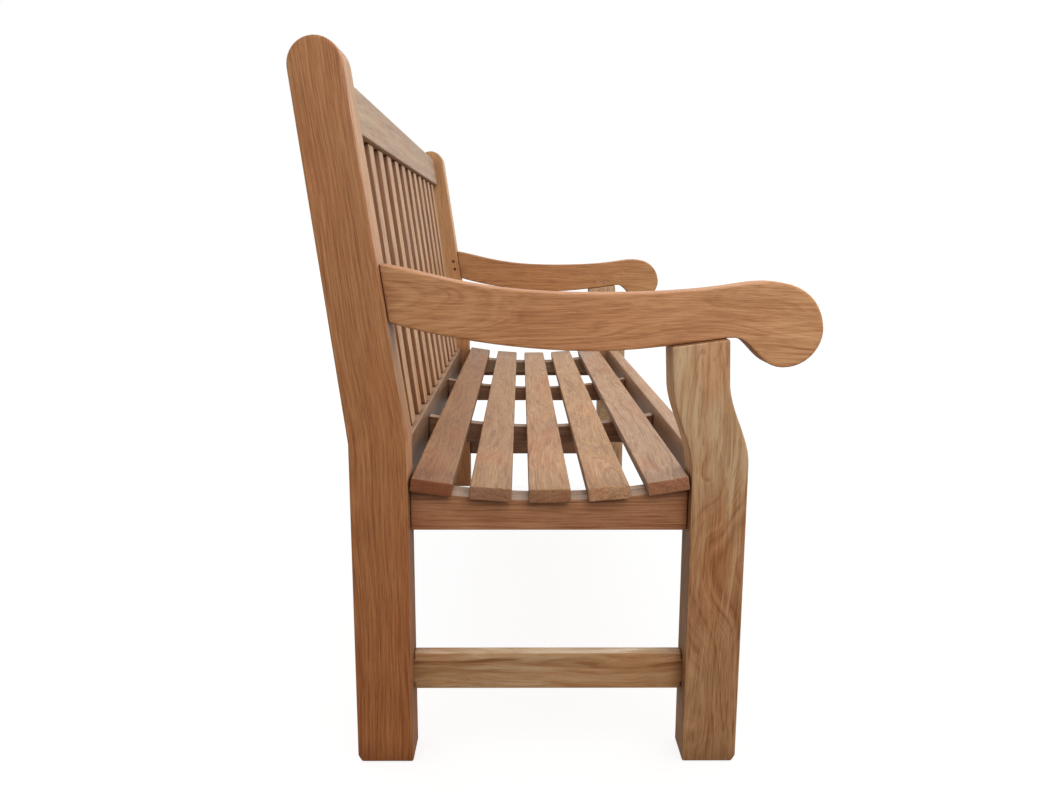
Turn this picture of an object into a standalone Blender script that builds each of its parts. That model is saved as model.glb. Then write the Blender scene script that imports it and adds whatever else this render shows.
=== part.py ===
"""Garden bench in teak with scrolled arms, built piece by piece.

Metres, +Z up. X runs along the bench, and someone sitting on it faces -Y. The origin lies on the
ground under the middle of the bench. The side at -X is the sitter's right and the side at +X the
left. Depths called "in" are measured from the outer face of the posts towards the middle.
"""

import math

import bmesh
import bpy
from mathutils import Vector

# Overall frame
HALF_LENGTH = 0.750
POST_THICK = 0.060
HEIGHT = 0.979
GAP = 0.0003  # air between two pieces that touch
EASE = 0.003  # rounding of the sawn edges

# Rear post, seen from the end of the bench
POST_FRONT_Y = 0.2056
POST_REAR_Y = 0.2842
POST_BEND_FRONT_Z = 0.470
POST_BEND_REAR_Z = 0.462
POST_FRONT_SLOPE = 0.144
POST_REAR_SLOPE = 0.126
FOOT_CHAMFER = (0.005, 0.009)  # along Y, along Z

# Front leg
LEG_FRONT_Y = -0.2521
LEG_REAR_Y = -0.1762
LEG_SHIFT = 0.0295  # how far the top stands behind the foot
LEG_FRONT_BEND_Z = (0.435, 0.548)
LEG_REAR_BEND_Z = (0.425, 0.545)
LEG_TOP_SLOPE = 0.04
LEG_TOP_Z = 0.600

# Arm: Y, Z, heading in degrees, handle length before, handle length after
ARM_IN = (0.010, 0.055)
ARM_NODES = (
    (0.2384, 0.7000, 189.5, 0.0, 0.0733),
    (-0.0562, 0.6622, 179.6, 0.1732, 0.1331),
    (-0.2559, 0.6774, 174.4, 0.0295, 0.0715),
    (-0.3450, 0.6174, 265.3, 0.0253, 0.0234),
    (-0.2938, 0.5649, 360.4, 0.0333, 0.0330),
    (-0.2295, 0.6042, 365.0, 0.0240, 0.0204),
    (-0.0308, 0.5863, 360.9, 0.0896, 0.0998),
    (0.2274, 0.6236, 16.6, 0.0643, 0.0),
)
ARM_STEPS = 12

# Seat: five slats laid on a shallow hollow
SLAT_COUNT = 5
SLAT_WIDTH = 0.057
SLAT_THICK = 0.020
SLAT_HALF_LENGTH = 0.748
SLAT_PITCH = 0.0794
SLAT_MIDDLE_Y = 0.0145
HOLLOW_RADIUS = 1.020
HOLLOW_Y = 0.0217
HOLLOW_LOW_Z = 0.4008

# Rails round the seat
SIDE_RAIL_IN = (0.020, 0.046)
CLEAT_IN = (0.0463, 0.068)
SEAT_BOTTOM_Z = 0.3366
BEARER_BOTTOM_Z = 0.3490
BEARER_X = 0.2275
BEARER_THICK = 0.025
FRONT_RAIL_Y = (-0.2275, -0.1995)
FRONT_RAIL_TOP_Z = 0.4215
FRONT_RAIL_EASE = 0.005
BACK_RAIL_Y = (0.2295, 0.2595)
BACK_RAIL_TOP_Z = 0.421
STRETCHER_IN = (0.026, 0.046)
STRETCHER_Z = (0.098, 0.153)

# Back, measured in a leaning frame: U across the slats, W up along them
LEAN = math.atan(0.1345)
LEAN_FOOT = (0.2361, 0.421)  # Y, Z where the faces of the slats meet the rail
BACK_COUNT = 13
BACK_WIDTH = 0.045
BACK_THICK = 0.016
TOP_RAIL_U = (-0.0078, 0.0202)
TOP_RAIL_W = (0.4670, 0.5390)
TOP_RAIL_EASE = 0.006

# Tenons. A pair of ranges is along Y and Z, or along U and W in the back
TENON_ROOT = 0.004  # how far a tenon starts inside its own board
SPARE = 0.001  # room beyond the end of a tenon or a peg
OVERCUT = 0.010  # how far a cut starts outside the face it opens
TENON_IN = (0.026, 0.036)  # side rail and stretcher
TENON_LENGTH = 0.024
RAIL_TENON_Z = (0.350, 0.376)
STRETCHER_TENON_Z = (0.109, 0.142)
RAIL_TENON_LENGTH = 0.030  # the three long rails
FRONT_TENON = ((-0.2195, -0.2075), (0.352, 0.404))
BACK_TENON = ((0.2385, 0.2505), (0.352, 0.408))
TOP_TENON = ((0.0012, 0.0132), (0.480, 0.525))
ARM_TENON_IN = (0.0255, 0.0395)
ARM_TENON = ((0.222, 0.270), (0.641, 0.685))
LEG_TENON = ((-0.2085, -0.1585), (0.580, 0.637))
SLAT_TENON_U = (0.003, 0.013)
SLAT_TENON_HALF = 0.0175
SLAT_TENON_FOOT_W = (-0.014, 0.006)
SLAT_TENON_HEAD_W = (0.461, 0.481)
BEARER_TENON_Z = (0.362, 0.388)
BEARER_TENON_HALF = 0.006
BEARER_TENON_LENGTH = 0.010

# Pegs and screws: Y and Z of their axes, and their reach in
PEG_RADIUS = 0.004
POST_PEGS = ((0.2485, 0.6712), (0.2444, 0.6494))
POST_PEG_IN = (0.020, 0.059)
ARM_PEGS = ((-0.1713, 0.6114), (-0.1941, 0.6130))
ARM_PEG_IN = (0.018, 0.0547)
SCREWS = ((0.1235, 0.365), (-0.0750, 0.366))
SCREW_HEAD_RADIUS = 0.004
SCREW_HEAD_IN = (0.0626, 0.0655)
SCREW_SEAT_IN = 0.062
SCREW_SHANK_RADIUS = 0.002
SCREW_SHANK_IN = (0.035, 0.064)
SCREW_SPARE = 0.002

TEAK = (0.42, 0.22, 0.10)
DOWEL = (0.22, 0.11, 0.05)
STEEL = (0.45, 0.44, 0.42)


def clear_scene():
    for obj in list(bpy.data.objects):
        bpy.data.objects.remove(obj, do_unlink=True)


def make_material(name, colour, roughness, metallic):
    material = bpy.data.materials.new(name)
    material.use_nodes = True
    shader = material.node_tree.nodes["Principled BSDF"]
    shader.inputs["Base Color"].default_value = (*colour, 1.0)
    shader.inputs["Roughness"].default_value = roughness
    shader.inputs["Metallic"].default_value = metallic
    return material


def wood(name, shade):
    """Teak, with SHADE above 1 for a paler board."""
    return make_material(name, [channel * shade for channel in TEAK], 0.55, 0.0)


def span(side, near, far):
    """X range of a piece lying between two depths in from the outer face on this side."""
    return sorted((side * (HALF_LENGTH - near), side * (HALF_LENGTH - far)))


def to_leaning(u, w):
    """Y, Z of a point given in the leaning frame of the back."""
    y = LEAN_FOOT[0] + u * math.cos(LEAN) + w * math.sin(LEAN)
    z = LEAN_FOOT[1] - u * math.sin(LEAN) + w * math.cos(LEAN)
    return y, z


def leaning_outline(u, w):
    corners = ((u[0], w[0]), (u[1], w[0]), (u[1], w[1]), (u[0], w[1]))
    return [to_leaning(*corner) for corner in corners]


def upright_outline(y, z):
    return [(y[0], z[0]), (y[1], z[0]), (y[1], z[1]), (y[0], z[1])]


def add_prism(bm, outline, x):
    """Adds the YZ outline, closed, pushed along X from x[0] to x[1]."""
    first = [bm.verts.new((x[0], y, z)) for y, z in outline]
    second = [bm.verts.new((x[1], y, z)) for y, z in outline]
    bm.faces.new(first)
    bm.faces.new(reversed(second))
    for i in range(len(outline)):
        j = (i + 1) % len(outline)
        bm.faces.new((first[j], first[i], second[i], second[j]))


def add_rod(bm, centre, radius, x, segments=20):
    """Adds a round rod along X."""
    outline = []
    for i in range(segments):
        angle = 2 * math.pi * i / segments
        outline.append((centre[0] + radius * math.cos(angle), centre[1] + radius * math.sin(angle)))
    add_prism(bm, outline, x)


def make_object(name, bm):
    bmesh.ops.recalc_face_normals(bm, faces=bm.faces[:])
    mesh = bpy.data.meshes.new(name)
    bm.to_mesh(mesh)
    bm.free()
    obj = bpy.data.objects.new(name, mesh)
    bpy.context.scene.collection.objects.link(obj)
    return obj


def prism(name, outline, x):
    bm = bmesh.new()
    add_prism(bm, outline, x)
    return make_object(name, bm)


def helper(blocks):
    """A temporary object holding separate closed blocks, each an (outline, x) pair."""
    bm = bmesh.new()
    for outline, x in blocks:
        add_prism(bm, outline, x)
    return make_object("helper", bm)


def rod_helper(rods):
    bm = bmesh.new()
    for centre, radius, x in rods:
        add_rod(bm, centre, radius, x)
    return make_object("helper", bm)


def finish(obj, material, ease, added=(), removed=()):
    """Rounds the edges, joins the ADDED helpers, cuts the REMOVED ones, and keeps the result."""
    if ease:
        bevel = obj.modifiers.new("Ease", "BEVEL")
        bevel.width = ease
        bevel.segments = 2
        bevel.limit_method = "ANGLE"
        bevel.angle_limit = math.radians(35)
    steps = [(other, "UNION") for other in added] + [(other, "DIFFERENCE") for other in removed]
    for other, operation in steps:
        boolean = obj.modifiers.new(operation.title(), "BOOLEAN")
        boolean.operation = operation
        boolean.solver = "EXACT"
        boolean.object = other
    bpy.context.view_layer.update()
    graph = bpy.context.evaluated_depsgraph_get()
    mesh = bpy.data.meshes.new_from_object(obj.evaluated_get(graph))
    obj.modifiers.clear()
    obj.data = mesh
    mesh.name = obj.name
    for other, _ in steps:
        bpy.data.objects.remove(other, do_unlink=True)
    for polygon in mesh.polygons:
        polygon.use_smooth = True
    mesh.set_sharp_from_angle(angle=math.radians(35))
    mesh.materials.clear()
    mesh.materials.append(material)
    return obj


def smoothstep(t):
    t = min(max(t, 0.0), 1.0)
    return t * t * (3 - 2 * t)


def post_front_y(z):
    return POST_FRONT_Y + POST_FRONT_SLOPE * max(z - POST_BEND_FRONT_Z, 0.0)


def post_rear_y(z):
    return POST_REAR_Y + POST_REAR_SLOPE * max(z - POST_BEND_REAR_Z, 0.0)


def post_outline():
    """Upright to the seat, leaning back above it, with a half-round top."""
    lean = math.atan(POST_FRONT_SLOPE)
    centre_z = HEIGHT
    for _ in range(6):
        radius = (post_rear_y(centre_z) - post_front_y(centre_z)) / 2 * math.cos(lean)
        centre_z = HEIGHT - radius
    centre_y = (post_rear_y(centre_z) + post_front_y(centre_z)) / 2
    outline = [(POST_FRONT_Y, 0.0), (POST_FRONT_Y, POST_BEND_FRONT_Z)]
    for i in range(21):
        angle = math.pi - lean - math.pi * i / 20
        outline.append((centre_y + radius * math.cos(angle), centre_z + radius * math.sin(angle)))
    outline.append((POST_REAR_Y, POST_BEND_REAR_Z))
    outline.append((POST_REAR_Y, FOOT_CHAMFER[1]))
    outline.append((POST_REAR_Y - FOOT_CHAMFER[0], 0.0))
    return outline


def leg_edge(y, bend_z, z):
    shift = LEG_SHIFT * smoothstep((z - bend_z[0]) / (bend_z[1] - bend_z[0]))
    return y + shift + LEG_TOP_SLOPE * max(z - bend_z[1], 0.0)


def arm_outline():
    """Closed outline of the arm, from the top of its shoulder round the scroll to the bottom."""
    outline = []
    for start, end in zip(ARM_NODES[:-1], ARM_NODES[1:]):
        heading = Vector((math.cos(math.radians(start[2])), math.sin(math.radians(start[2]))))
        arriving = Vector((math.cos(math.radians(end[2])), math.sin(math.radians(end[2]))))
        p0 = Vector(start[:2])
        p3 = Vector(end[:2])
        p1 = p0 + heading * start[4]
        p2 = p3 - arriving * end[3]
        for i in range(ARM_STEPS):
            t = i / ARM_STEPS
            s = 1 - t
            point = s**3 * p0 + 3 * s * s * t * p1 + 3 * s * t * t * p2 + t**3 * p3
            outline.append(tuple(point))
    outline.append(ARM_NODES[-1][:2])
    return outline


def arm_underside_z(y):
    """Height of the arm's lower edge, behind the scroll."""
    lower = arm_outline()[5 * ARM_STEPS :]
    for (y0, z0), (y1, z1) in zip(lower[:-1], lower[1:]):
        if y0 <= y <= y1:
            return z0 + (z1 - z0) * (y - y0) / (y1 - y0)
    return lower[-1][1]


def leg_outline():
    """Upright to the seat, then an S-curve to a top set further back, cut to meet the arm."""
    outline = [(LEG_REAR_Y, 0.0), (LEG_FRONT_Y + FOOT_CHAMFER[0], 0.0)]
    outline.append((LEG_FRONT_Y, FOOT_CHAMFER[1]))
    low, high = LEG_FRONT_BEND_Z
    for i in range(13):
        z = low + (high - low) * i / 12
        outline.append((leg_edge(LEG_FRONT_Y, LEG_FRONT_BEND_Z, z), z))
    front_top = leg_edge(LEG_FRONT_Y, LEG_FRONT_BEND_Z, LEG_TOP_Z)
    rear_top = leg_edge(LEG_REAR_Y, LEG_REAR_BEND_Z, LEG_TOP_Z)
    for i in range(5):
        y = front_top + (rear_top - front_top) * i / 4
        outline.append((y, arm_underside_z(y) - GAP))
    low, high = LEG_REAR_BEND_Z
    for i in range(13):
        z = high + (low - high) * i / 12
        outline.append((leg_edge(LEG_REAR_Y, LEG_REAR_BEND_Z, z), z))
    return outline


def hollow_z(y, below):
    """Height of the seat's hollow at Y, for a surface BELOW the tops of the slats."""
    radius = HOLLOW_RADIUS + below
    return HOLLOW_LOW_Z + HOLLOW_RADIUS - math.sqrt(radius**2 - (y - HOLLOW_Y) ** 2)


def support_outline(y, bottom_z):
    """A board on edge whose top follows the hollow, just under the slats."""
    corner = math.hypot(HOLLOW_RADIUS + SLAT_THICK, SLAT_WIDTH / 2) - HOLLOW_RADIUS
    outline = [(y[0], bottom_z), (y[1], bottom_z)]
    for i in range(17):
        at = y[1] + (y[0] - y[1]) * i / 16
        outline.append((at, hollow_z(at, corner + GAP)))
    return outline


def grown(low, high, by=GAP):
    return (low - by, high + by)


def side_joint(z):
    """Tenon and mortise blocks for a side rail or stretcher: (front end, rear end)."""
    front = (LEG_REAR_Y - TENON_LENGTH, LEG_REAR_Y + TENON_ROOT)
    rear = (POST_FRONT_Y - TENON_ROOT, POST_FRONT_Y + TENON_LENGTH)
    return {
        "tenons": (upright_outline(front, z), upright_outline(rear, z)),
        "leg": upright_outline((front[0] - SPARE, LEG_REAR_Y + OVERCUT), grown(*z)),
        "post": upright_outline((POST_FRONT_Y - OVERCUT, rear[1] + SPARE), grown(*z)),
    }


RAIL_JOINT = side_joint(RAIL_TENON_Z)
STRETCHER_JOINT = side_joint(STRETCHER_TENON_Z)


def rear_post(side, name):
    post = prism(name, post_outline(), span(side, 0.0, POST_THICK))
    tenon_x = span(side, TENON_IN[0] - GAP, TENON_IN[1] + GAP)
    rail_x = span(side, POST_THICK - RAIL_TENON_LENGTH - SPARE, POST_THICK + OVERCUT)
    mortises = [
        (RAIL_JOINT["post"], tenon_x),
        (STRETCHER_JOINT["post"], tenon_x),
        (upright_outline(grown(*BACK_TENON[0]), grown(*BACK_TENON[1])), rail_x),
        (leaning_outline(grown(*TOP_TENON[0]), grown(*TOP_TENON[1])), rail_x),
        (
            upright_outline((POST_FRONT_Y, ARM_TENON[0][1] + SPARE), grown(*ARM_TENON[1])),
            span(side, ARM_TENON_IN[0] - GAP, ARM_TENON_IN[1] + GAP),
        ),
    ]
    pegs = [(at, PEG_RADIUS + GAP, span(side, POST_PEG_IN[0] - SPARE, POST_THICK + OVERCUT)) for at in POST_PEGS]
    removed = [helper(mortises), rod_helper(pegs)]
    return finish(post, wood(name, 1.0), EASE, removed=removed)


def front_leg(side, name):
    leg = prism(name, leg_outline(), span(side, 0.0, POST_THICK))
    tenon = [(upright_outline(*LEG_TENON), span(side, *ARM_TENON_IN))]
    tenon_x = span(side, TENON_IN[0] - GAP, TENON_IN[1] + GAP)
    rail_x = span(side, POST_THICK - RAIL_TENON_LENGTH - SPARE, POST_THICK + OVERCUT)
    mortises = [
        (RAIL_JOINT["leg"], tenon_x),
        (STRETCHER_JOINT["leg"], tenon_x),
        (upright_outline(grown(*FRONT_TENON[0]), grown(*FRONT_TENON[1])), rail_x),
    ]
    pegs = [(at, PEG_RADIUS + GAP, span(side, 0.0, POST_THICK)) for at in ARM_PEGS]
    removed = [helper(mortises), rod_helper(pegs)]
    return finish(leg, wood(name, 1.12), EASE, added=[helper(tenon)], removed=removed)


def arm(side, name):
    board = prism(name, arm_outline(), span(side, *ARM_IN))
    tenon = [(upright_outline(*ARM_TENON), span(side, *ARM_TENON_IN))]
    y, z = LEG_TENON
    mortise = [
        (
            upright_outline(grown(*y), (z[0] - OVERCUT, z[1] + SPARE)),
            span(side, ARM_TENON_IN[0] - GAP, ARM_TENON_IN[1] + GAP),
        )
    ]
    pegs = [(at, PEG_RADIUS + GAP, span(side, 0.0, POST_THICK)) for at in POST_PEGS]
    pegs += [(at, PEG_RADIUS + GAP, span(side, ARM_PEG_IN[0] - SPARE, POST_THICK)) for at in ARM_PEGS]
    removed = [helper(mortise), rod_helper(pegs)]
    return finish(board, wood(name, 1.05), EASE, added=[helper(tenon)], removed=removed)


def side_board(side, name, outline, inward, joint, shade, screws=False):
    board = prism(name, outline, span(side, *inward))
    tenons = [(tenon, span(side, *TENON_IN)) for tenon in joint["tenons"]]
    removed = []
    if screws:
        reach = span(side, SCREW_SHANK_IN[0] - SCREW_SPARE, inward[1] + OVERCUT)
        removed.append(rod_helper([(at, SCREW_SHANK_RADIUS + GAP, reach) for at in SCREWS]))
    return finish(board, wood(name, shade), EASE, [helper(tenons)], removed)


def side_rail(side, name):
    outline = support_outline((LEG_REAR_Y + GAP, POST_FRONT_Y - GAP), SEAT_BOTTOM_Z)
    return side_board(side, name, outline, SIDE_RAIL_IN, RAIL_JOINT, 0.85, screws=True)


def side_stretcher(side, name):
    outline = upright_outline((LEG_REAR_Y + GAP, POST_FRONT_Y - GAP), STRETCHER_Z)
    return side_board(side, name, outline, STRETCHER_IN, STRETCHER_JOINT, 1.1)


def cleat(side, name):
    """A batten inside the side rail that carries the ends of the slats."""
    outline = support_outline((LEG_REAR_Y + GAP, POST_FRONT_Y - GAP), BEARER_BOTTOM_Z)
    board = prism(name, outline, span(side, *CLEAT_IN))
    through = span(side, CLEAT_IN[0] - OVERCUT, CLEAT_IN[1] + OVERCUT)
    seat = span(side, SCREW_SEAT_IN, CLEAT_IN[1] + OVERCUT)
    shank = [(at, SCREW_SHANK_RADIUS + GAP, through) for at in SCREWS]
    head = [(at, SCREW_HEAD_RADIUS + GAP, seat) for at in SCREWS]
    removed = [rod_helper(shank), rod_helper(head)]
    return finish(board, wood(name, 0.8), EASE, removed=removed)


def screw(side, name, at):
    """Countersunk into the cleat and reaching into the side rail."""
    obj = rod_helper([(at, SCREW_HEAD_RADIUS, span(side, *SCREW_HEAD_IN))])
    obj.name = name
    shank = rod_helper([(at, SCREW_SHANK_RADIUS, span(side, *SCREW_SHANK_IN))])
    return finish(obj, make_material(name, STEEL, 0.35, 1.0), 0.0, added=[shank])


def peg(side, name, at, inward):
    bm = bmesh.new()
    add_rod(bm, at, PEG_RADIUS, span(side, *inward))
    return finish(make_object(name, bm), make_material(name, DOWEL, 0.6, 0.0), 0.0)


def bearer_joint(y0, y1):
    """Mortise outline for the end of a bearer."""
    return upright_outline((y0, y1), grown(*BEARER_TENON_Z))


def bearer(side, name):
    x = (side * BEARER_X - BEARER_THICK / 2, side * BEARER_X + BEARER_THICK / 2)
    y = (FRONT_RAIL_Y[1] + GAP, BACK_RAIL_Y[0] - GAP)
    board = prism(name, support_outline(y, BEARER_BOTTOM_Z), x)
    tenon_x = (side * BEARER_X - BEARER_TENON_HALF, side * BEARER_X + BEARER_TENON_HALF)
    front = upright_outline((y[0] - BEARER_TENON_LENGTH, y[0] + TENON_ROOT), BEARER_TENON_Z)
    rear = upright_outline((y[1] - TENON_ROOT, y[1] + BEARER_TENON_LENGTH), BEARER_TENON_Z)
    tenons = helper([(front, tenon_x), (rear, tenon_x)])
    return finish(board, wood(name, 0.8), EASE, [tenons])


def bearer_mortises(y):
    blocks = []
    for side in (-1, 1):
        half = BEARER_TENON_HALF + GAP
        blocks.append((bearer_joint(*y), (side * BEARER_X - half, side * BEARER_X + half)))
    return blocks


def long_tenons(outline):
    """The same tenon at both ends of a rail that runs the length of the bench."""
    inner = HALF_LENGTH - POST_THICK
    reach = inner + RAIL_TENON_LENGTH
    return [(outline, (-reach, -inner + TENON_ROOT)), (outline, (inner - TENON_ROOT, reach))]


def long_span():
    inner = HALF_LENGTH - POST_THICK - GAP
    return (-inner, inner)


def front_rail():
    outline = upright_outline(FRONT_RAIL_Y, (SEAT_BOTTOM_Z, FRONT_RAIL_TOP_Z))
    rail = prism("front_seat_rail", outline, long_span())
    tenons = helper(long_tenons(upright_outline(*FRONT_TENON)))
    inner = FRONT_RAIL_Y[1]
    mortises = helper(bearer_mortises((inner - BEARER_TENON_LENGTH - SPARE, inner + OVERCUT)))
    return finish(rail, wood("front_seat_rail", 0.95), FRONT_RAIL_EASE, [tenons], [mortises])


def back_slat_positions():
    inner = HALF_LENGTH - POST_THICK
    space = (2 * inner - BACK_COUNT * BACK_WIDTH) / (BACK_COUNT + 1)
    pitch = BACK_WIDTH + space
    return [pitch * (i - (BACK_COUNT - 1) / 2) for i in range(BACK_COUNT)]


def slat_mortises(w):
    outline = leaning_outline(grown(*SLAT_TENON_U), w)
    half = SLAT_TENON_HALF + GAP
    return [(outline, (x - half, x + half)) for x in back_slat_positions()]


def lower_back_rail():
    outline = upright_outline(BACK_RAIL_Y, (SEAT_BOTTOM_Z, BACK_RAIL_TOP_Z))
    rail = prism("lower_back_rail", outline, long_span())
    tenons = helper(long_tenons(upright_outline(*BACK_TENON)))
    face = BACK_RAIL_Y[0]
    bearers = helper(bearer_mortises((face - OVERCUT, face + BEARER_TENON_LENGTH + SPARE)))
    slats = helper(slat_mortises((SLAT_TENON_FOOT_W[0] - SPARE, OVERCUT)))
    return finish(rail, wood("lower_back_rail", 0.95), EASE, [tenons], [bearers, slats])


def top_rail():
    rail = prism("top_back_rail", leaning_outline(TOP_RAIL_U, TOP_RAIL_W), long_span())
    tenons = helper(long_tenons(leaning_outline(*TOP_TENON)))
    slats = helper(slat_mortises((TOP_RAIL_W[0] - OVERCUT, SLAT_TENON_HEAD_W[1] + SPARE)))
    return finish(rail, wood("top_back_rail", 1.1), TOP_RAIL_EASE, [tenons], [slats])


def back_slat_mesh():
    """One slat at X = 0, its foot cut level to stand on the rail."""
    foot = [(GAP + u * math.sin(LEAN)) / math.cos(LEAN) for u in (0.0, BACK_THICK)]
    head = TOP_RAIL_W[0] - GAP
    corners = ((0.0, foot[0]), (BACK_THICK, foot[1]), (BACK_THICK, head), (0.0, head))
    outline = [to_leaning(*corner) for corner in corners]
    slat = prism("back_slat", outline, (-BACK_WIDTH / 2, BACK_WIDTH / 2))
    x = (-SLAT_TENON_HALF, SLAT_TENON_HALF)
    tenons = [(leaning_outline(SLAT_TENON_U, SLAT_TENON_FOOT_W), x)]
    tenons.append((leaning_outline(SLAT_TENON_U, SLAT_TENON_HEAD_W), x))
    finish(slat, wood("back_slat", 1.0), EASE, [helper(tenons)])
    mesh = slat.data
    bpy.data.objects.remove(slat, do_unlink=True)
    return mesh


def back_slats():
    pattern = back_slat_mesh()
    for i, x in enumerate(back_slat_positions()):
        name = f"back_slat_{i + 1:02d}"
        mesh = pattern.copy()
        mesh.name = name
        mesh.materials[0] = wood(name, 1.0 + 0.05 * math.sin(2.4 * i))
        slat = bpy.data.objects.new(name, mesh)
        slat.location.x = x
        bpy.context.scene.collection.objects.link(slat)
    bpy.data.meshes.remove(pattern)


def seat_slat(index):
    """Slat 1 lies at the back of the seat."""
    y = SLAT_MIDDLE_Y + SLAT_PITCH * ((SLAT_COUNT - 1) / 2 - index)
    tilt = math.asin((y - HOLLOW_Y) / HOLLOW_RADIUS)
    name = f"seat_slat_{index + 1}"
    half = SLAT_WIDTH / 2
    outline = upright_outline((-half, half), (-SLAT_THICK, 0.0))
    slat = prism(name, outline, (-SLAT_HALF_LENGTH, SLAT_HALF_LENGTH))
    finish(slat, wood(name, 1.15 + 0.04 * math.sin(3.1 * index)), EASE)
    slat.location = (0.0, y, hollow_z(y, 0.0))
    slat.rotation_euler.x = tilt
    return slat


def build_side(side, label):
    rear_post(side, f"rear_post_{label}")
    front_leg(side, f"front_leg_{label}")
    arm(side, f"arm_{label}")
    side_rail(side, f"side_seat_rail_{label}")
    side_stretcher(side, f"side_stretcher_{label}")
    cleat(side, f"seat_cleat_{label}")
    bearer(side, f"seat_bearer_{label}")
    for i, at in enumerate(POST_PEGS):
        peg(side, f"post_peg_{label}_{i + 1}", at, POST_PEG_IN)
    for i, at in enumerate(ARM_PEGS):
        peg(side, f"arm_peg_{label}_{i + 1}", at, ARM_PEG_IN)
    for i, at in enumerate(SCREWS):
        screw(side, f"cleat_screw_{label}_{i + 1}", at)


clear_scene()
build_side(-1, "right")
build_side(1, "left")
front_rail()
lower_back_rail()
top_rail()
back_slats()
for slat_index in range(SLAT_COUNT):
    seat_slat(slat_index)
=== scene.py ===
import math

import bpy
from mathutils import Matrix, Vector


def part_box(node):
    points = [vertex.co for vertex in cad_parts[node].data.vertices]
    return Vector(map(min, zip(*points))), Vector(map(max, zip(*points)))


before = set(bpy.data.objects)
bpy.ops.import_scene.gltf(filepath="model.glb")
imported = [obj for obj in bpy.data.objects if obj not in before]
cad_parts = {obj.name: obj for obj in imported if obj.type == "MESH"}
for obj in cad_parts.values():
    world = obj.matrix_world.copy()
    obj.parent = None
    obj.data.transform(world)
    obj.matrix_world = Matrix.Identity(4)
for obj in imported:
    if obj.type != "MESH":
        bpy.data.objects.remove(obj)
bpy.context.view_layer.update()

# Camera
EYE = (-1.9026, 0.0542, 0.7293)
LENS = 30.307
SENSOR = 36.0
NEAR_CLIP = 0.01
PITCH = math.radians(10.148)
YAW = math.radians(-0.425)
ROLL = math.radians(0.139)

# World strength overhead, at the horizon and underfoot
SKY_TOP = 0.45
SKY_SIDE = 0.50
SKY_BELOW = 0.12

# World strength in the wood's shine, beyond the left end and the right end, and the share left underfoot
GLOSS_LEFT = 0.85
GLOSS_RIGHT = 0.20
GLOSS_BELOW = 0.20

# Floor, just under the soles
FLOOR_SIZE = 60.0
FLOOR_Z = -0.0005
FLOOR_GREY = (0.60, 0.60, 0.60)
FLOOR_GLOW = 0.80

# Softboxes: place, the point that they face, width and height, watts
SOFTBOXES = {
    "front softbox": ((0.0, -2.6, 2.3), (0.0, 0.0, 0.5), (2.6, 1.8), 62),
    "top softbox": ((0.0, 0.1, 2.5), (0.0, 0.0, 0.4), (2.6, 1.8), 14),
    "end softbox": ((-2.9, -0.6, 1.9), (-0.7, 0.0, 0.6), (1.8, 1.4), 34),
    "back softbox": ((0.6, 2.8, 1.5), (0.0, 0.0, 0.5), (2.6, 1.8), 22),
}

# Mesh points this close are made one, and faces that meet at less than this angle are shaded smooth
WELD = 0.00002
SMOOTH_ANGLE = math.radians(32)

# Rear posts bend at this height. The back leans by this slope, and the grain eases into it
BEND_Z = 0.470
LEAN = 0.1345
BEND_EASE = 0.06
BACK_SLAT_COUNT = 13

ALONG = (1.0, 0.0, 0.0)
FRONT = (0.0, 1.0, 0.0)
UP = (0.0, 0.0, 1.0)
WHITE = (1.0, 1.0, 1.0)

# Mid tones of the boards
POST = {"right": (0.405, 0.162, 0.054), "left": (0.47, 0.215, 0.080)}
# The posts' front faces are painted paler: a painted sheen where light glances off them
POST_FRONT_SHEEN = {"right": (0.48, 0.245, 0.115), "left": (0.57, 0.33, 0.17)}
LEG = {"right": (0.425, 0.208, 0.086), "left": (0.50, 0.32, 0.17)}
ARM = {"right": (0.55, 0.260, 0.107), "left": (0.46, 0.215, 0.078)}
RAIL = (0.42, 0.18, 0.075)
CLEAT = (0.40, 0.24, 0.13)
BEARER = (0.34, 0.165, 0.085)
# Top faces of the side rails, cleats and bearers are painted paler: a painted highlight where light falls on
# them
SUPPORT_LIT_TOP = (0.62, 0.44, 0.30)
# The left stretcher is painted darker, painted shade under the seat; the stretchers' top faces are painted
# paler, a painted highlight
STRETCHER = {"right": (0.46, 0.24, 0.10), "left": (0.26, 0.12, 0.055)}
STRETCHER_LIT_TOP = {"right": (0.70, 0.48, 0.29), "left": (0.36, 0.19, 0.10)}
POST_PEG = (0.14, 0.06, 0.025)
ARM_PEG = (0.60, 0.38, 0.25)
# Back slats: sides in the darker mid tone, painted shade, and fronts paler, painted light
BACK_SLAT = (0.280, 0.120, 0.052)
BACK_SLAT_LIT_FRONT = (0.475, 0.285, 0.145)
LONG_RAILS = {
    "front_seat_rail": (0.46, 0.28, 0.165),
    "lower_back_rail": (0.32, 0.185, 0.105),
    "top_back_rail": (0.405, 0.265, 0.158),
}
# Seat slats from the one by the back to the one at the front, each paler than the one before
SEAT_SLATS = (
    (0.278, 0.128, 0.044),
    (0.370, 0.200, 0.090),
    (0.425, 0.232, 0.105),
    (0.457, 0.255, 0.120),
    (0.465, 0.285, 0.168),
)
SEAT_SLAT_ENDS = (
    (0.235, 0.069, 0.020),
    (0.317, 0.143, 0.071),
    (0.326, 0.148, 0.064),
    (0.478, 0.251, 0.121),
    (0.345, 0.137, 0.060),
)
SAPWOOD = (0.62, 0.42, 0.235)

# Tones of the screws' steel, and its scuffs per metre
STEEL = (0.30, 0.29, 0.27)
SCUFFED_STEEL = (0.52, 0.50, 0.47)
SCUFF_SCALE = (900, 900, 900)

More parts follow.
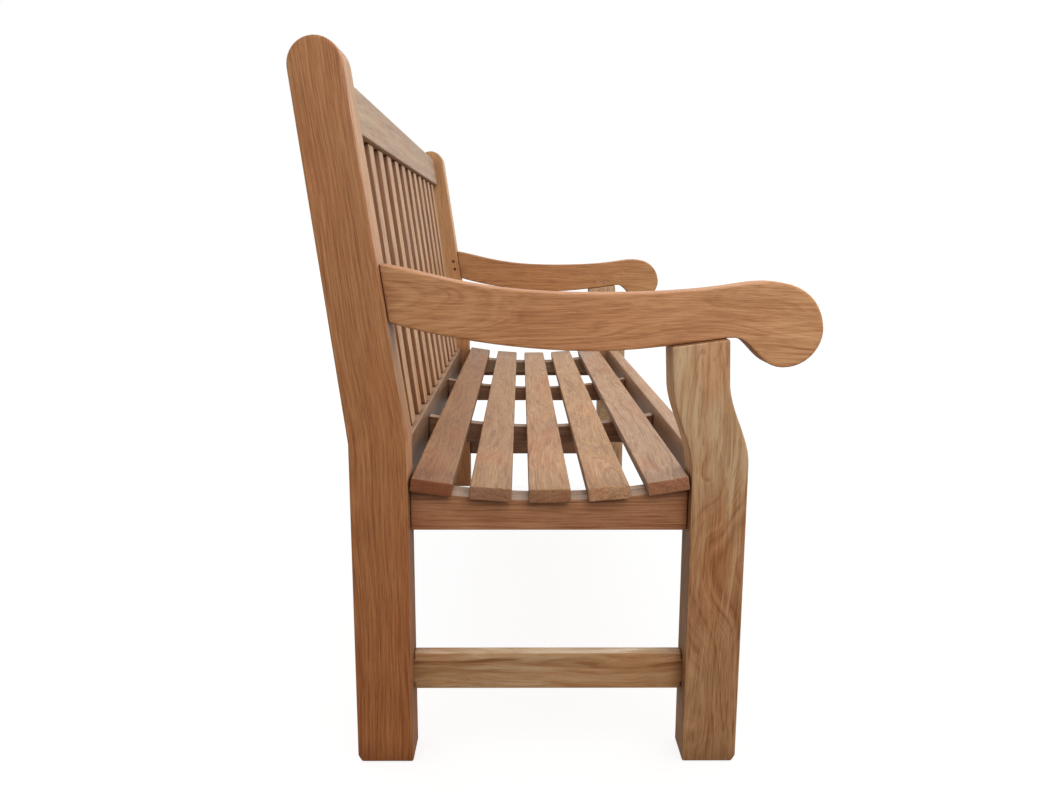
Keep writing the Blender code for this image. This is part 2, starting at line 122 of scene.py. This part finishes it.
# Gains that make a mid tone's lightest and darkest, and tint redder patches, a knot and painted corner shade
PALER = (1.30, 1.42, 1.60)
DARKER = (0.60, 0.45, 0.34)
BLUSH_TINT = (1.0, 0.70, 0.55)
HEART_TINT = (0.95, 0.66, 0.50)
PAINTED_SHADE_TINT = (0.50, 0.42, 0.36)

# Features per metre of each noise in the wood: across the board both ways, then along it
DRIFT_SCALE = (9, 9, 2.4)
BREAK_SCALE = (60, 60, 7)
STREAK_SCALE = (130, 130, 3.0)
GRAIN_SCALE = (430, 430, 12)
MOTTLE_SCALE = (34, 34, 15)
FIBRE_SCALE = (650, 650, 20)
PORE_SCALE = (1000, 1000, 55)
SAP_SCALE = (70, 70, 3.4)
BLUSH_SCALE = (17, 17, 5)

# Distance from a knot counts less along the board, so that its reach is longest there
KNOT_SHAPE = (0.6, 1.0, 0.42)

# Width of the paler edges (wear and painted highlight), reach of the painted shade in corners, depth of the
# grain's relief
EDGE_WIDTH = 0.004
PAINTED_SHADE_REACH = 0.045
RELIEF_DEPTH = 0.0006

# The figure of the wood, as a board has it unless a setting below says otherwise. Lengths are in metres:
#   rings, contrast: growth rings per metre from the pith, and how dark their lines are
#   figure, grain, mottle: how much the rings, the fine grain and the broad patches change the tone
#   wander: how far the grain drifts sideways
#   blush: how red the redder patches are
#   knot, knot_size, knot_pull: place, reach, and how far the rings swell round it
#   sap, sap_rise: how much sapwood shows, and how much more of it per metre along the board
#   fade: change of red, green and blue per metre along the board, painted shade and light on posts and arms
#   end_depth: how dark the end grain is
USUAL_FIGURE = {
    "rings": 150.0, "contrast": 0.35,
    "figure": 2.1, "grain": 2.8, "mottle": 1.4,
    "wander": 0.03, "blush": 0.35,
    "knot": (0.0, 0.0, 0.0), "knot_size": 0.05, "knot_pull": 0.0,
    "sap": 0.0, "sap_rise": 0.0,
    "fade": (0.0, 0.0, 0.0), "end_depth": 0.7,
}
# Posts fade darker towards the ground, painted shade; legs fade darker towards the bottom
POST_FIGURE = dict(rings=260, contrast=0.7, figure=1.3, grain=3.4, mottle=0.7, fade=(0.16, 0.46, 0.66))
LEG_FIGURE = dict(rings=200, contrast=0.5, figure=2.4, grain=3.0, wander=0.06, blush=0.6, sap_rise=0.75,
                  knot=(-0.03, -0.010, -0.03), knot_size=0.042, knot_pull=0.028, fade=(0.18, 0.24, 0.28))
# Arms fade paler towards the front of the bench: a painted pool of light
ARM_FIGURE = dict(rings=330, contrast=0.45, figure=1.5, grain=2.6, mottle=0.8, wander=0.04, blush=0.25,
                  knot=(-0.02, 0.02, 0.02), knot_size=0.10, knot_pull=0.012, fade=(-0.4, -0.5, -0.6))
SIDE_RAIL_FIGURE = dict(rings=230, contrast=0.9, grain=3.0)
STRETCHER_FIGURE = dict(rings=45, contrast=1.0, figure=3.2, grain=1.8, wander=0.07)
LONG_RAIL_FIGURE = dict(rings=120, contrast=0.2, grain=1.6, mottle=0.8)
SEAT_SLAT_FIGURE = dict(rings=280, figure=2.3, grain=3.0, mottle=1.0, wander=0.045, blush=0.6, end_depth=0.0)
LEG_SAP = {"right": 0.8, "left": 0.0}
STRETCHER_SAP = {"right": 0.7, "left": 0.0}
SEAT_SLAT_CONTRAST = (0.8, 0.5, 0.8, 0.5, 0.5)

# Where a board's grain starts: its first seed, and how far apart two seeds are along the grain
END_SEED = {"right": 0, "left": 40}
POST_PEG_SEED = 8
ARM_PEG_SEED = 10
LONG_RAIL_SEED = 20
SEAT_SLAT_SEED = 50
BACK_SLAT_SEED = 60
SEED_STEP = 3.7


class Graph:
    """Short calls for adding nodes. An argument that is a socket is linked, any other is a value."""

    def __init__(self, tree):
        self.tree = tree
        tree.nodes.clear()

    def add(self, kind, inputs=None, **settings):
        node = self.tree.nodes.new(kind)
        for key, value in settings.items():
            setattr(node, key, value)
        for key, value in (inputs or {}).items():
            self.put(node.inputs[key], value)
        return node

    def put(self, socket, value):
        if isinstance(value, bpy.types.NodeSocket):
            self.tree.links.new(value, socket)
        else:
            socket.default_value = value

    def math(self, operation, a, b=0.0, c=0.0, clamp=False):
        node = self.add("ShaderNodeMath", {0: a, 1: b, 2: c}, operation=operation, use_clamp=clamp)
        return node.outputs[0]

    def vector(self, operation, a, b=(0.0, 0.0, 0.0)):
        node = self.add("ShaderNodeVectorMath", {0: a, 1: b}, operation=operation)
        return node.outputs[1 if operation in ("LENGTH", "DOT_PRODUCT") else 0]

    def scale(self, vector, factor):
        return self.add("ShaderNodeVectorMath", {0: vector, "Scale": factor}, operation="SCALE").outputs[0]

    def join(self, *parts):
        return self.add("ShaderNodeCombineXYZ", dict(enumerate(parts))).outputs[0]

    def split(self, vector):
        return self.add("ShaderNodeSeparateXYZ", {0: vector}).outputs

    def noise(self, vector, stretch, detail, roughness=0.5):
        """Noise with STRETCH features per metre along each axis of VECTOR."""
        scaled = self.vector("MULTIPLY", vector, stretch)
        inputs = {"Vector": scaled, "Scale": 1.0, "Detail": detail, "Roughness": roughness}
        return self.add("ShaderNodeTexNoise", inputs).outputs["Fac"]

    def ring_noise(self, place, detail, roughness):
        """Noise that depends on one number, PLACE."""
        inputs = {"W": place, "Scale": 1.0, "Detail": detail, "Roughness": roughness}
        return self.add("ShaderNodeTexNoise", inputs, noise_dimensions="1D").outputs["Fac"]

    def spread(self, value, low, high, to_low=0.0, to_high=1.0, smooth=True):
        """Maps low..high to to_low..to_high, clamped."""
        inputs = {"Value": value, "From Min": low, "From Max": high, "To Min": to_low, "To Max": to_high}
        kind = "SMOOTHSTEP" if smooth else "LINEAR"
        return self.add("ShaderNodeMapRange", inputs, interpolation_type=kind).outputs[0]

    def swing(self, noise, weight):
        """A noise moved to lie round zero, times WEIGHT."""
        return self.math("MULTIPLY", self.math("SUBTRACT", noise, 0.5), weight)

    def between(self, factor, a, b):
        """A number that goes from A to B as FACTOR goes from 0 to 1."""
        return self.math("ADD", self.math("MULTIPLY", factor, self.math("SUBTRACT", b, a)), a)

    def mix(self, factor, a, b, blend="MIX"):
        """A colour between A and B."""
        node = self.add("ShaderNodeMix", data_type="RGBA", blend_type=blend)
        self.put(node.inputs[0], factor)
        self.put(node.inputs[6], a)
        self.put(node.inputs[7], b)
        return node.outputs[2]


def colour(rgb):
    return (*rgb, 1.0)


def times(rgb, gain):
    return [a * b for a, b in zip(rgb, gain)]


def add_sockets(tree, inputs, outputs):
    for name, kind in inputs:
        tree.interface.new_socket(name, in_out="INPUT", socket_type=kind)
    for name, kind in outputs:
        tree.interface.new_socket(name, in_out="OUTPUT", socket_type=kind)


def add_teak_sockets(tree):
    """Inputs of the teak: where a point is on its board, the board's tones, and the figure's settings."""
    kinds = {
        "NodeSocketVector": ("Board", "Shift", "Pith", "Knot", "Fade"),
        "NodeSocketColor": ("Light", "Middle", "Dark", "Sapwood", "Face Gain"),
        "NodeSocketFloat": ("End", "End Depth", "Facing", "Rings", "Contrast", "Figure", "Grain", "Mottle",
                            "Wander", "Blush", "Knot Size", "Knot Pull", "Sap", "Sap Rise"),
    }
    inputs = [(name, kind) for kind, names in kinds.items() for name in names]
    outputs = [("Color", "NodeSocketColor"), ("Roughness", "NodeSocketFloat"), ("Height", "NodeSocketFloat")]
    add_sockets(tree, inputs, outputs)


def grain_drift(g, given, board):
    """The slow sideways drift of the grain."""
    drift_x = g.math("SUBTRACT", g.noise(board, DRIFT_SCALE, 2.0), 0.5)
    elsewhere = g.vector("ADD", board, (3.1, 7.7, 1.3))
    drift_y = g.math("SUBTRACT", g.noise(elsewhere, DRIFT_SCALE, 2.0), 0.5)
    return g.scale(g.join(drift_x, drift_y), given["Wander"])


def pith_and_knot(g, given, drift):
    """Distance from the pith, swelling round the knot, and distance from the knot in knot sizes."""
    bent = g.vector("ADD", given["Board"], drift)
    from_pith = g.vector("SUBTRACT", bent, given["Pith"])
    radius = g.vector("LENGTH", g.vector("MULTIPLY", from_pith, (1.0, 1.0, 0.0)))
    from_knot = g.vector("MULTIPLY", g.vector("SUBTRACT", bent, given["Knot"]), KNOT_SHAPE)
    knot_distance = g.math("DIVIDE", g.vector("LENGTH", from_knot), given["Knot Size"])
    squared = g.math("MULTIPLY", knot_distance, knot_distance)
    swell = g.math("EXPONENT", g.math("MULTIPLY", squared, -1.0))
    return g.math("ADD", radius, g.math("MULTIPLY", swell, given["Knot Pull"])), knot_distance


def ring_pattern(g, given, board, radius):
    """Rings of uneven width and depth, and their dark lines, which come and go along the board."""
    place = g.math("MULTIPLY", radius, given["Rings"])
    rings = g.ring_noise(place, 4.0, 0.62)
    line_noise = g.ring_noise(g.math("MULTIPLY", place, 2.1), 2.0, 0.5)
    broken = g.spread(g.noise(board, BREAK_SCALE, 3.0, 0.6), 0.40, 0.62)
    return rings, g.math("MULTIPLY", g.spread(line_noise, 0.57, 0.68), broken)


def heartwood(g, given, noises):
    """Lighter or darker than the middle, as NOISES say together. Each is a noise and its weight."""
    level = g.swing(*noises[0])
    for noise, weight in noises[1:]:
        level = g.math("ADD", level, g.swing(noise, weight))
    tone = g.mix(g.spread(level, 0.0, 1.0, smooth=False), given["Middle"], given["Light"])
    return g.mix(g.spread(level, 0.0, -1.0, smooth=False), tone, given["Dark"])


def sapwood_share(g, given, flowing, streaks, along):
    """Long tongues of sapwood, broken up by the streaks."""
    rise = g.math("MULTIPLY", along, given["Sap Rise"])
    level = g.math("ADD", g.noise(flowing, SAP_SCALE, 4.0, 0.62), rise)
    sap = g.math("MULTIPLY", g.spread(level, 0.46, 0.66), given["Sap"])
    return g.math("MULTIPLY", sap, g.spread(streaks, 0.38, 0.56, 0.30, 1.0))


def slow_changes(g, given, tone, board, along, knot_distance):
    """Redder patches, a red heart at the knot, a fade along the board, painted light and shade on faces, end
    grain.
    """
    warmth = g.noise(g.vector("ADD", board, (5.0, 2.0, 9.0)), BLUSH_SCALE, 3.0, 0.55)
    blush = g.math("MULTIPLY", g.spread(warmth, 0.48, 0.70), given["Blush"])
    tone = g.mix(blush, tone, colour(BLUSH_TINT), "MULTIPLY")
    knotty = g.spread(given["Knot Pull"], 0.0, 0.02, 0.0, 0.55)
    heart = g.math("MULTIPLY", g.spread(knot_distance, 1.3, 0.1), knotty)
    tone = g.mix(heart, tone, colour(HEART_TINT), "MULTIPLY")
    # Painted shade and light along the board: posts darker lower down, arms paler towards the front
    fade = g.vector("ADD", g.scale(given["Fade"], along), WHITE)
    tone = g.mix(1.0, tone, fade, "MULTIPLY")
    # Painted light and shade on one pair of faces: lit tops and fronts, shaded sides; seat slat ends get
    # their end-grain tone
    tone = g.mix(given["Facing"], tone, g.mix(1.0, tone, given["Face Gain"], "MULTIPLY"))
    return g.mix(g.math("MULTIPLY", given["End"], given["End Depth"]), tone, given["Dark"])


def edge_wear_and_painted_light(g, given, tone, fibres):
    """Sanded edges are a little paler, as wear and as a painted highlight, and painted shade darkens corners
    where boards meet.
    """
    normal = g.add("ShaderNodeNewGeometry").outputs["Normal"]
    # Paler edges: sanding wear, and a painted highlight where an eased edge catches the light
    rounded = g.add("ShaderNodeBevel", {"Radius": EDGE_WIDTH}, samples=4).outputs[0]
    bend = g.math("SUBTRACT", 1.0, g.vector("DOT_PRODUCT", normal, rounded))
    edge = g.math("MULTIPLY", g.spread(bend, 0.01, 0.14), g.spread(fibres, 0.3, 0.6, 0.35, 1.0))
    tone = g.mix(g.math("MULTIPLY", edge, 0.30), tone, given["Light"])
    # Painted shade: darker where other boards are near, in corners, under overhangs and between parts
    open_air = g.add("ShaderNodeAmbientOcclusion", {"Distance": PAINTED_SHADE_REACH}, samples=4).outputs["AO"]
    painted_shade = g.spread(open_air, 0.95, 0.40, 0.0, 0.75)
    return g.mix(painted_shade, tone, colour(PAINTED_SHADE_TINT), "MULTIPLY")


def teak_group():
    """Solid teak, in metres: growth rings round a pith, a knot, sapwood, streaks, fibres and open pores."""
    tree = bpy.data.node_groups.new("teak figure", "ShaderNodeTree")
    add_teak_sockets(tree)
    g = Graph(tree)
    given = g.add("NodeGroupInput").outputs
    board = g.vector("ADD", given["Board"], given["Shift"])
    along = g.split(given["Board"])[2]
    drift = grain_drift(g, given, board)
    flowing = g.vector("ADD", board, drift)
    radius, knot_distance = pith_and_knot(g, given, drift)
    rings, lines = ring_pattern(g, given, board, radius)

    streaks = g.noise(flowing, STREAK_SCALE, 4.0, 0.62)
    grain = g.noise(flowing, GRAIN_SCALE, 3.0, 0.60)
    mottle = g.noise(board, MOTTLE_SCALE, 4.0, 0.62)
    fibres = g.noise(board, FIBRE_SCALE, 3.0, 0.7)
    pores = g.spread(g.noise(board, PORE_SCALE, 1.0), 0.60, 0.70)

    noises = ((rings, given["Figure"]), (streaks, 1.3), (grain, given["Grain"]), (mottle, given["Mottle"]),
              (fibres, 1.5))
    tone = heartwood(g, given, noises)
    tone = g.mix(sapwood_share(g, given, flowing, streaks, along), tone, given["Sapwood"])
    tone = g.mix(g.math("MULTIPLY", lines, given["Contrast"]), tone, given["Dark"])
    tone = g.mix(g.math("MULTIPLY", pores, 0.30), tone, given["Dark"])
    tone = slow_changes(g, given, tone, board, along, knot_distance)
    tone = edge_wear_and_painted_light(g, given, tone, fibres)

    rough = g.math("ADD", g.spread(rings, 0.3, 0.7, 0.42, 0.52), g.math("MULTIPLY", pores, 0.16))
    rough = g.math("ADD", rough, g.math("MULTIPLY", given["End"], 0.15), clamp=True)
    relief = g.math("ADD", g.math("MULTIPLY", fibres, 0.30), g.math("MULTIPLY", rings, 0.25))
    height = g.math("SUBTRACT", relief, g.math("MULTIPLY", pores, 0.55))
    g.add("NodeGroupOutput", {"Color": tone, "Roughness": rough, "Height": height})
    return tree


def board_vector(g, axis, origin, lean):
    """Place on the board: two axes across the grain and one along it, from the board's own ORIGIN."""
    place = g.add("ShaderNodeTexCoord").outputs["Object"]
    if lean:
        bend_z, slope = lean
        parts = g.split(place)
        above = g.math("SMOOTH_MAX", g.math("SUBTRACT", parts[2], bend_z), 0.0, BEND_EASE)
        back = g.math("SUBTRACT", parts[1], g.math("MULTIPLY", above, slope))
        place = g.join(parts[0], back, parts[2])
    parts = g.split(g.vector("SUBTRACT", place, origin))
    order = {"X": (1, 2, 0), "Y": (2, 0, 1), "Z": (0, 1, 2)}[axis]
    return g.join(*(parts[i] for i in order))


def teak(name, axis, middle, pith, seed, lean=None, face=None, **figure):
    """Teak for one board with its grain along AXIS and the mid tone MIDDLE.

    PITH is in metres from the board's middle. LEAN is the height of a bend and the slope above it. FACE is
    the normal of one pair of faces, and the mid tone that those have instead: painted light on lit tops and
    fronts, painted shade on shaded sides, and the seat slats' end grain. FIGURE changes USUAL_FIGURE.
    """
    material = bpy.data.materials.new(f"teak {name}")
    material.use_nodes = True
    g = Graph(material.node_tree)
    low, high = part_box(name)
    grain = tuple(1.0 if letter == axis else 0.0 for letter in "XYZ")
    normal = g.add("ShaderNodeNewGeometry").outputs["Normal"]
    inputs = {
        "Board": board_vector(g, axis, tuple((low + high) / 2), lean),
        "Shift": (0.0, 0.0, SEED_STEP * seed),
        "Pith": (*pith, 0.0),
        "End": g.spread(g.math("ABSOLUTE", g.vector("DOT_PRODUCT", normal, grain)), 0.80, 0.97),
        "Middle": colour(middle),
        "Light": colour(times(middle, PALER)),
        "Dark": colour(times(middle, DARKER)),
        "Sapwood": colour(SAPWOOD),
    }
    if face:
        face_normal, face_tone_and_light = face
        facing = g.math("ABSOLUTE", g.vector("DOT_PRODUCT", normal, face_normal))
        inputs["Facing"] = g.spread(facing, 0.3, 0.9)
        inputs["Face Gain"] = colour([a / b for a, b in zip(face_tone_and_light, middle)])
    for key, value in (USUAL_FIGURE | figure).items():
        inputs[key.replace("_", " ").title()] = value
    group = g.add("ShaderNodeGroup", inputs, node_tree=TEAK_GROUP).outputs
    relief = {"Height": group["Height"], "Strength": 0.55, "Distance": RELIEF_DEPTH}
    bump = g.add("ShaderNodeBump", relief).outputs[0]
    surface = {"Base Color": group["Color"], "Roughness": group["Roughness"], "Normal": bump, "IOR": 1.45}
    shader = g.add("ShaderNodeBsdfPrincipled", surface)
    g.add("ShaderNodeOutputMaterial", {0: shader.outputs[0]})
    return material


def plain_metal(name):
    """Stainless steel with fine scuffs."""
    material = bpy.data.materials.new(name)
    material.use_nodes = True
    g = Graph(material.node_tree)
    place = g.add("ShaderNodeTexCoord").outputs["Object"]
    scuffs = g.noise(place, SCUFF_SCALE, 3.0)
    tone = g.mix(g.spread(scuffs, 0.4, 0.6), colour(STEEL), colour(SCUFFED_STEEL))
    rough = g.spread(scuffs, 0.3, 0.7, 0.28, 0.5)
    shader = g.add("ShaderNodeBsdfPrincipled", {"Base Color": tone, "Roughness": rough, "Metallic": 1.0})
    g.add("ShaderNodeOutputMaterial", {0: shader.outputs[0]})
    return material


def smoothing_group():
    """Welds a faceted mesh, and shades it smooth where its faces meet at a small angle."""
    tree = bpy.data.node_groups.new("weld and smooth", "GeometryNodeTree")
    add_sockets(tree, [("Geometry", "NodeSocketGeometry")], [("Geometry", "NodeSocketGeometry")])
    g = Graph(tree)
    given = g.add("NodeGroupInput").outputs[0]
    welded = g.add("GeometryNodeMergeByDistance", {"Geometry": given, "Distance": WELD}).outputs[0]
    faces = g.add("GeometryNodeSetShadeSmooth", {0: welded, "Shade Smooth": True}, domain="FACE").outputs[0]
    angle = g.add("GeometryNodeInputMeshEdgeAngle").outputs[0]
    soft = g.math("LESS_THAN", angle, SMOOTH_ANGLE)
    edges = g.add("GeometryNodeSetShadeSmooth", {0: faces, "Shade Smooth": soft}, domain="EDGE").outputs[0]
    g.add("NodeGroupOutput", {0: edges})
    return tree


TEAK_GROUP = teak_group()
SMOOTHING = smoothing_group()


def dress(name, material):
    """Gives a CAD node MATERIAL and smooth shading on its round stretches."""
    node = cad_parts[name]
    node.data.materials.clear()
    node.data.materials.append(material)
    shading = node.modifiers.new("Smooth", "NODES")
    shading.node_group = SMOOTHING
    normals = node.modifiers.new("Flat faces", "WEIGHTED_NORMAL")
    normals.keep_sharp = True
    normals.weight = 100


def dress_end(side):
    """One end frame of the bench, with its pegs and screws."""
    support = dict(face=(UP, SUPPORT_LIT_TOP))
    post = POST_FIGURE | dict(lean=(BEND_Z, LEAN), face=(FRONT, POST_FRONT_SHEEN[side]))
    leg = LEG_FIGURE | dict(sap=LEG_SAP[side])
    stretcher = STRETCHER_FIGURE | dict(sap=STRETCHER_SAP[side], face=(UP, STRETCHER_LIT_TOP[side]))
    boards = (
        ("rear_post", "Z", POST[side], (0.01, 0.16), post),
        ("front_leg", "Z", LEG[side], (0.07, 0.02), leg),
        ("arm", "Y", ARM[side], (0.03, 0.09), ARM_FIGURE),
        ("side_seat_rail", "Y", RAIL, (0.12, 0.02), SIDE_RAIL_FIGURE | support),
        ("side_stretcher", "Y", STRETCHER[side], (-0.06, 0.03), stretcher),
        ("seat_cleat", "Y", CLEAT, (0.10, 0.03), support),
        ("seat_bearer", "Y", BEARER, (0.08, 0.05), support),
    )
    for i, (kind, axis, middle, pith, figure) in enumerate(boards):
        name = f"{kind}_{side}"
        dress(name, teak(name, axis, middle, pith, END_SEED[side] + i, **figure))
    for i in (1, 2):
        post_peg = f"post_peg_{side}_{i}"
        dress(post_peg, teak(post_peg, "X", POST_PEG, (0.05, 0.05), POST_PEG_SEED + i))
        arm_peg = f"arm_peg_{side}_{i}"
        dress(arm_peg, teak(arm_peg, "X", ARM_PEG, (0.05, 0.05), ARM_PEG_SEED + i))
        screw = f"cleat_screw_{side}_{i}"
        dress(screw, plain_metal(screw))


def dress_long_rails():
    for i, (name, middle) in enumerate(LONG_RAILS.items()):
        dress(name, teak(name, "X", middle, (0.09, 0.04), LONG_RAIL_SEED + i, **LONG_RAIL_FIGURE))


def dress_back_slats():
    figure = dict(lean=(0.0, LEAN), face=(FRONT, BACK_SLAT_LIT_FRONT), contrast=0.4)
    for i in range(BACK_SLAT_COUNT):
        name = f"back_slat_{i + 1:02d}"
        dress(name, teak(name, "Z", BACK_SLAT, (0.02, 0.08), BACK_SLAT_SEED + i, **figure))


def dress_seat_slats():
    for i, middle in enumerate(SEAT_SLATS):
        name = f"seat_slat_{i + 1}"
        pith = (0.03 * math.sin(2.0 * i), -0.07)
        own = dict(contrast=SEAT_SLAT_CONTRAST[i], face=(ALONG, SEAT_SLAT_ENDS[i]))
        dress(name, teak(name, "X", middle, pith, SEAT_SLAT_SEED + i, **SEAT_SLAT_FIGURE, **own))


def add_camera():
    data = bpy.data.cameras.new("camera")
    data.lens = LENS
    data.sensor_width = SENSOR
    data.sensor_fit = "HORIZONTAL"
    data.clip_start = NEAR_CLIP
    camera = bpy.data.objects.new("camera", data)
    heading = Matrix.Rotation(YAW - math.pi / 2, 4, "Z")
    tilt = Matrix.Rotation(math.pi / 2 - PITCH, 4, "X")
    camera.matrix_world = Matrix.Translation(EYE) @ heading @ tilt @ Matrix.Rotation(ROLL, 4, "Z")
    bpy.context.scene.collection.objects.link(camera)
    bpy.context.scene.camera = camera


def add_softboxes():
    """Area lights that light the bench and not the floor."""
    bench = bpy.data.collections.new("lit by the softboxes")
    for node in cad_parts.values():
        bench.objects.link(node)
    for name, (place, target, size, power) in SOFTBOXES.items():
        data = bpy.data.lights.new(name, "AREA")
        data.shape = "RECTANGLE"
        data.size, data.size_y = size
        data.energy = power
        light = bpy.data.objects.new(name, data)
        light.location = place
        light.rotation_euler = (Vector(target) - Vector(place)).to_track_quat("-Z", "Y").to_euler()
        light.light_linking.receiver_collection = bench
        bpy.context.scene.collection.objects.link(light)


def add_floor():
    """A pale floor that throws no light back, so that the bench darkens towards the ground."""
    bpy.ops.mesh.primitive_plane_add(size=FLOOR_SIZE, location=(0.0, 0.0, FLOOR_Z))
    floor = bpy.context.object
    floor.name = "studio_floor"
    floor.visible_diffuse = False
    floor.visible_glossy = False
    material = bpy.data.materials.new("pale floor")
    material.use_nodes = True
    shader = material.node_tree.nodes["Principled BSDF"]
    shader.inputs["Base Color"].default_value = colour(FLOOR_GREY)
    shader.inputs["Roughness"].default_value = 1.0
    shader.inputs["Specular IOR Level"].default_value = 0.0
    shader.inputs["Emission Color"].default_value = colour(WHITE)
    shader.inputs["Emission Strength"].default_value = FLOOR_GLOW
    floor.data.materials.append(material)


def add_world():
    """A white backdrop that lights the bench least from below, and shines in the wood as GLOSS says."""
    world = bpy.data.worlds.new("studio")
    world.use_nodes = True
    g = Graph(world.node_tree)
    parts = g.split(g.add("ShaderNodeTexCoord").outputs["Generated"])
    sideways = parts[0]
    height = parts[2]
    upper = g.spread(height, 0.0, 1.0, SKY_SIDE, SKY_TOP, smooth=False)
    lower = g.spread(height, -0.5, 0.02, SKY_BELOW, SKY_SIDE, smooth=False)
    strength = g.between(g.math("LESS_THAN", height, 0.0), upper, lower)
    gloss = g.spread(sideways, -0.6, 0.5, GLOSS_RIGHT, GLOSS_LEFT)
    gloss = g.math("MULTIPLY", gloss, g.spread(height, -0.4, 0.05, GLOSS_BELOW, 1.0))
    rays = g.add("ShaderNodeLightPath").outputs
    strength = g.between(rays["Is Glossy Ray"], strength, gloss)
    strength = g.between(rays["Is Camera Ray"], strength, 1.0)
    light = g.add("ShaderNodeBackground", {"Color": colour(WHITE), "Strength": strength})
    g.add("ShaderNodeOutputWorld", {0: light.outputs[0]})
    bpy.context.scene.world = world


dress_end("right")
dress_end("left")
dress_long_rails()
dress_back_slats()
dress_seat_slats()
add_camera()
add_world()
add_floor()
add_softboxes()
bpy.context.scene.view_settings.view_transform = "Standard"
